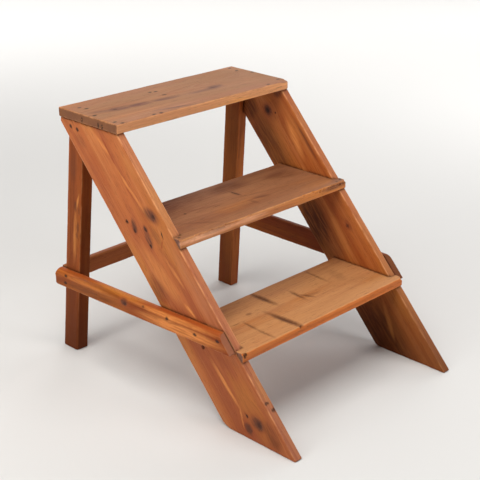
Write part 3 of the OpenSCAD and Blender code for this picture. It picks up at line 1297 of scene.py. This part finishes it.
pine_material(
    "middle_tread", (17.0, 0.080, -0.040), contrast=0.32, tread=0.9, narrow_face_shading=(1.4, 1.4, 1.3),
    tones={
        **trodden_pine, "early": (168, 106, 64), "streak": (142, 88, 56), "late": (116, 64, 38),
        "tread": (148, 99, 67), "end": (104, 70, 62),
    },
    marks={
        "bloom": [(0.080, 0.0, 110, 9, 0.0, 1.0, 0.012), (0.210, 0.0, 70, 8, 0.0, 0.6, 0.012)],
        # Painted shadow: the broad shade spots darken the back of the tread, most at the left under the
        # top tread; the three thin shade strokes run along the grain.
        "shade": [
            (0.020, 0.210, 240, 120, -0.1, 1.0), stroke((0.060, 0.125), (0.230, 0.090), 7, 0.4),
            stroke((0.050, 0.080), (0.150, 0.010), 6, 0.35),
            stroke((0.250, 0.100), (0.420, 0.070), 5, 0.3), (0.300, 0.160, 80, 30, 0.0, 0.6),
            (0.465, 0.130, 70, 26, -0.2, 0.5),
        ],
        "plum": [
            (0.318, 0.063, 32, 9, -0.25, 0.6), (0.281, 0.052, 8, 20, 0.1, 0.5),
            (0.470, 0.150, 50, 14, 0.1, 0.4), (0.289, 0.120, 9, 26, 0.02, 0.4),
            (0.510, 0.0, 60, 8, 0.0, 0.9, 0.014), (0.110, 0.0, 60, 5, 0.0, 0.5, 0.016),
            (0.530, 0.016, 24, 12, 0.2, 0.6),
        ],
        "stain": [
            (0.289, 0.120, 3.4, 21, 0.03, 0.75), (0.114, 0.105, 5, 4, 0.0, 0.8),
            (0.009, 0.014, 5, 4, 0.0, 0.8), (0.542, 0.012, 7, 4, 0.3, 0.8),
            (0.524, 0.008, 5, 3, 0.0, 0.6),
        ],
    },
)
pine_material(
    "bottom_tread", (23.0, 0.130, -0.060), contrast=0.2, crisp=0.2, tread=0.85,
    narrow_face_shading=(1.4, 1.05, 0.55),
    tones={**trodden_pine, "tread": (192, 136, 86), "end": (104, 70, 62)},
    marks={
        # Painted shadow: the shade spot darkens the back left of the tread.
        "shade": [(0.070, 0.185, 140, 70, 0.0, 0.45)],
        "groove": [
            (along, across, 2.3 * wide, 1.3 * half_long, turn, 0.85 * dark)
            for along, across, wide, half_long, turn, dark in grooves
        ],
        "plum": [
            (0.449, 0.119, 18, 40, -0.3, 0.25), (0.146, 0.121, 10, 7, 0.0, 0.5),
            (0.330, 0.090, 26, 8, -0.2, 0.35),
        ],
        "stain": [
            *[
                (along, across, wide, 0.8 * half_long, turn, 0.45 * dark)
                for along, across, wide, half_long, turn, dark in grooves
            ],
            (0.184, 0.0, 6, 7, 0.0, 0.95), (0.089, 0.106, 16, 1.6, 0.0, 0.6),
            (0.008, 0.0, 6, 7, 0.0, 1.0, 0.016),
        ],
    },
)
print("finished:", ", ".join(finishes))

# %% Give the legs their wood
pine_material(
    # Painted shade: the narrow faces' multiplier makes the front face much darker than the outer face.
    "leg_left", (29.0, -0.030, 0.010), feet=0.8, shine=0.06, narrow_face_shading=(0.5, 0.42, 0.32),
    tones={
        "early": (156, 82, 40), "late": (110, 52, 22), "streak": (134, 68, 34),
        "light": (178, 106, 54), "golden": (156, 90, 40),
    },
    marks={
        "honey": [stroke((0.410, 0.008), (0.360, 0.020), 4, 0.6), (0.300, 0.020, 80, 8, 0.0, 0.4)],
        "plum": [
            (0.374, 0.021, 16, 7, 0.0, 0.7), (0.366, 0.007, 12, 5, 0.0, 0.6),
            (0.323, 0.010, 18, 6, 0.0, 0.7), (0.304, 0.013, 10, 6, 0.0, 0.6),
            # Painted shadow: this last plum spot darkens the top of the leg under the top tread.
            (0.470, 0.030, 46, 16, 0.0, 0.5),
        ],
    },
)
pine_material(
    "leg_right", (31.0, 0.080, 0.020), feet=0.5, shine=0.06, narrow_face_shading=(1.7, 1.75, 2.0),
    tones={**dark_pine, "early": (146, 77, 34), "light": (164, 96, 46), "golden": (146, 84, 34)},
    marks={
        "honey": [(0.150, 0.030, 150, 26, 0.0, 0.3, 0.0)],
        # Painted shadow: the shade spot darkens the upper part of the broad face, under the treads.
        "shade": [(0.480, 0.026, 190, 50, 0.0, 1.0, 0.0)],
    },
)
print("finished:", ", ".join(finishes))

# %% Give the braces and the rail their wood
pine_material(
    "brace_left", (37.0, 0.010, -0.040), contrast=0.35, narrow_face_shading=(1.5, 1.8, 2.2),
    tones={
        "early": (150, 70, 20), "late": (112, 48, 12), "streak": (132, 56, 16),
        "light": (180, 102, 40), "golden": (166, 94, 30), "end": (150, 98, 72),
        "honey": (222, 138, 70), "tread": (164, 110, 80),
    },
    knots=[(0.247, 0.024, 6, 1.4)],
    marks={
        "tread": [stroke((0.0, 0.040), (0.230, 0.042), 9, 1.0)],
        # Painted shade: the shade stroke darkens the rear third of the lower face.
        "shade": [stroke((0.040, 0.010), (0.230, 0.012), 10, 0.55)],
        "honey": [
            # Painted highlight as well as golden wood: this first honey stroke lies along the front half
            # of the rounded upper edge.
            stroke((0.230, 0.035), (0.570, 0.035), 9, 0.9),
            stroke((0.0, 0.030), (0.240, 0.026), 6, 0.4),
            stroke((0.270, 0.014), (0.580, 0.014), 16, 0.9),
        ],
        "plum": [
            (0.248, 0.026, 14, 12, 0.0, 0.8), (0.150, 0.038, 100, 5, 0.0, 0.5),
            (0.310, 0.033, 8, 5, 0.0, 0.5),
        ],
        "stain": [(0.250, 0.022, 6, 5, 0.0, 0.5), (0.310, 0.033, 4, 2.6, 0.0, 0.6)],
    },
)
pine_material(
    "brace_right", (41.0, 0.060, -0.030), shine=0.08,
    tones={**dark_pine, "early": (144, 76, 26), "light": (158, 92, 38)},
)
pine_material(
    "rear_rail", (43.0, -0.020, -0.030), shine=0.08,
    tones={**dark_pine, "early": (178, 104, 62), "streak": (150, 84, 46)},
)
print("finished:", ", ".join(finishes))

# %% Dress the boards, each on the stool's one body
slots = {
    **dict.fromkeys(("stringer_left", "stringer_right", "brace_left", "brace_right"), "pine_side"),
    **dict.fromkeys(TREADS, "pine_tread"),
    **dict.fromkeys(("leg_left", "leg_right", "rear_rail"), "pine_leg"),
}
for name, board in boards.items():
    board.data.materials.clear()
    board.data.materials.append(finishes[name])
    board.name = "old_" + name
    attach(board, "root")
    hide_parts(name)
print("dressed", len(boards), "boards")

# %% [markdown]
# ## Iron for the nails
# The heads are plain iron gone dark brown: dull metal with patches of rust, which are
# rougher and not metallic.

# %% Dress the nails


def make_old_iron():
    material = bpy.data.materials.new("old_iron")
    material.use_nodes = True
    graph = Graph(material.node_tree)
    place = graph.add("TexCoord", {})["Object"]
    rust = graph.step(graph.noise(place, (700.0, 700.0, 700.0), 3.0), 0.4, 0.6)
    graph.fill(graph.tree.nodes["Principled BSDF"], {
        "Base Color": graph.mix(rust, paint(46, 40, 38), paint(70, 38, 24)),
        "Roughness": graph.total(0.45, (rust, 0.35)),
        "Metallic": graph.total(0.8, (rust, -0.7)),
        "Normal": graph.add("Bump", {"Height": rust, "Strength": 0.4, "Distance": 0.1 * MM})[0],
    })
    return material


old_iron = make_old_iron()
for board, heads in nails.items():
    heads.data.materials.clear()
    heads.data.materials.append(old_iron)
    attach(heads, "root")
print("nails on", ", ".join(nails))

# %% Give the floor a plain pale finish
floor_paint = bpy.data.materials.new("pale_floor")
floor_paint.use_nodes = True
floor_shader = floor_paint.node_tree.nodes["Principled BSDF"]
floor_shader.inputs["Base Color"].default_value = paint(218, 216, 213)
floor_shader.inputs["Roughness"].default_value = 0.9
floor.data.materials.append(floor_paint)
